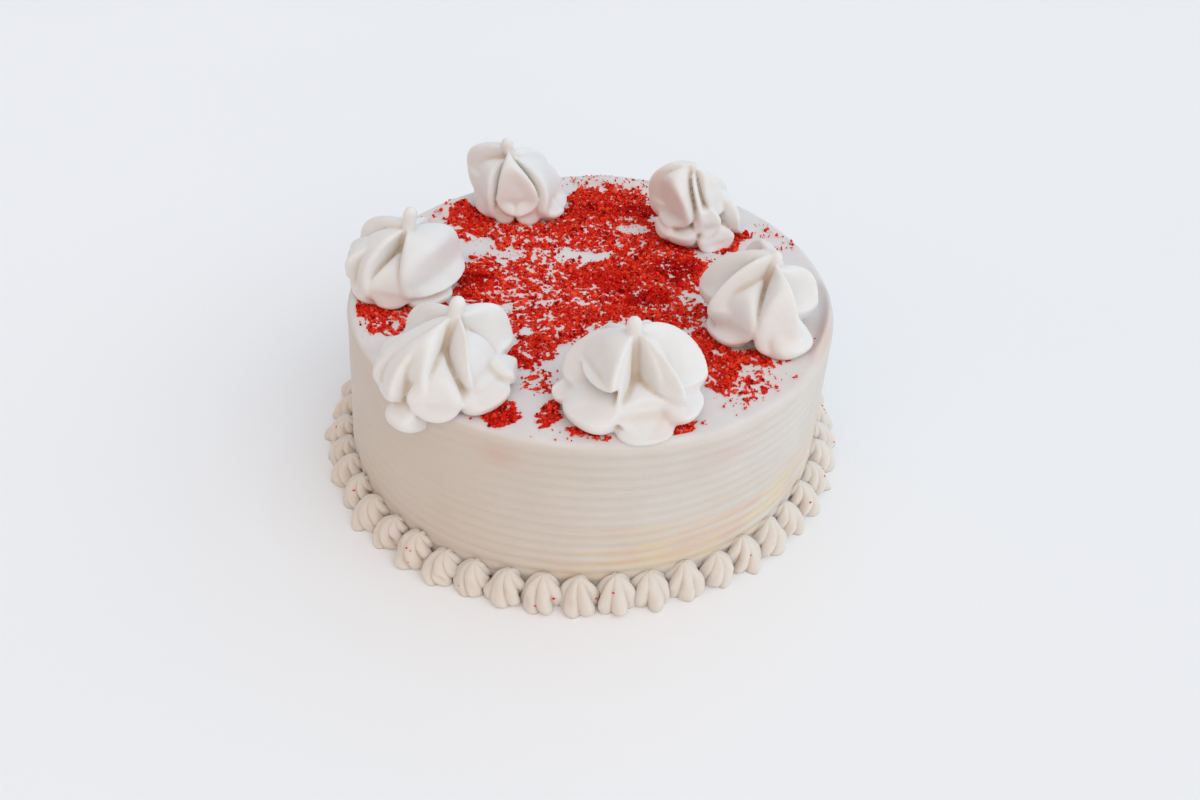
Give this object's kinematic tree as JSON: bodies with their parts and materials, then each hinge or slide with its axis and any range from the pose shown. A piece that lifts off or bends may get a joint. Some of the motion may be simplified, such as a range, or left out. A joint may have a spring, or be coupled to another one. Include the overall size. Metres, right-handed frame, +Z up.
{
  "type": "red velvet cake",
  "caption": "Round frosted red velvet cake with combed sides, a piped shell border round the foot, tall piped cream swirls and red crumbs on top.",
  "frame": {"origin": "middle of the foot, on the surface that the cake stands on", "axes": "+Z up; -Y is the front, towards the viewer of the picture; +X to the viewer's right"},
  "size_m": [0.2282, 0.2282, 0.1075],
  "materials": {
    "frosting": "satin, off-white, with red crumbs on top",
    "cream": "soft satin, white"
  },
  "bodies": {
    "root": {"cake": "frosting", "swirl_back_left": "cream", "swirl_back_right": "cream", "swirl_left": "cream", "swirl_front_left": "cream", "swirl_front": "cream", "swirl_right": "cream", "border_shell_01": "cream", "border_shell_02": "cream", "border_shell_03": "cream", "border_shell_04": "cream", "border_shell_05": "cream", "border_shell_06": "cream", "border_shell_07": "cream", "border_shell_08": "cream", "border_shell_09": "cream", "border_shell_10": "cream", "border_shell_11": "cream", "border_shell_12": "cream", "border_shell_13": "cream", "border_shell_14": "cream", "border_shell_15": "cream", "border_shell_16": "cream", "border_shell_17": "cream", "border_shell_18": "cream", "border_shell_19": "cream", "border_shell_20": "cream", "border_shell_21": "cream", "border_shell_22": "cream", "border_shell_23": "cream", "border_shell_24": "cream", "border_shell_25": "cream", "border_shell_26": "cream", "border_shell_27": "cream", "border_shell_28": "cream", "border_shell_29": "cream", "border_shell_30": "cream", "border_shell_31": "cream", "border_shell_32": "cream", "border_shell_33": "cream", "border_shell_34": "cream", "border_shell_35": "cream", "border_shell_36": "cream", "border_shell_37": "cream", "border_shell_38": "cream", "border_shell_39": "cream", "border_shell_40": "cream", "border_shell_41": "cream", "border_shell_42": "cream", "border_shell_43": "cream", "border_shell_44": "cream", "border_shell_45": "cream", "border_shell_46": "cream", "border_shell_47": "cream", "border_shell_48": "cream"}
  },
  "joints": []
}
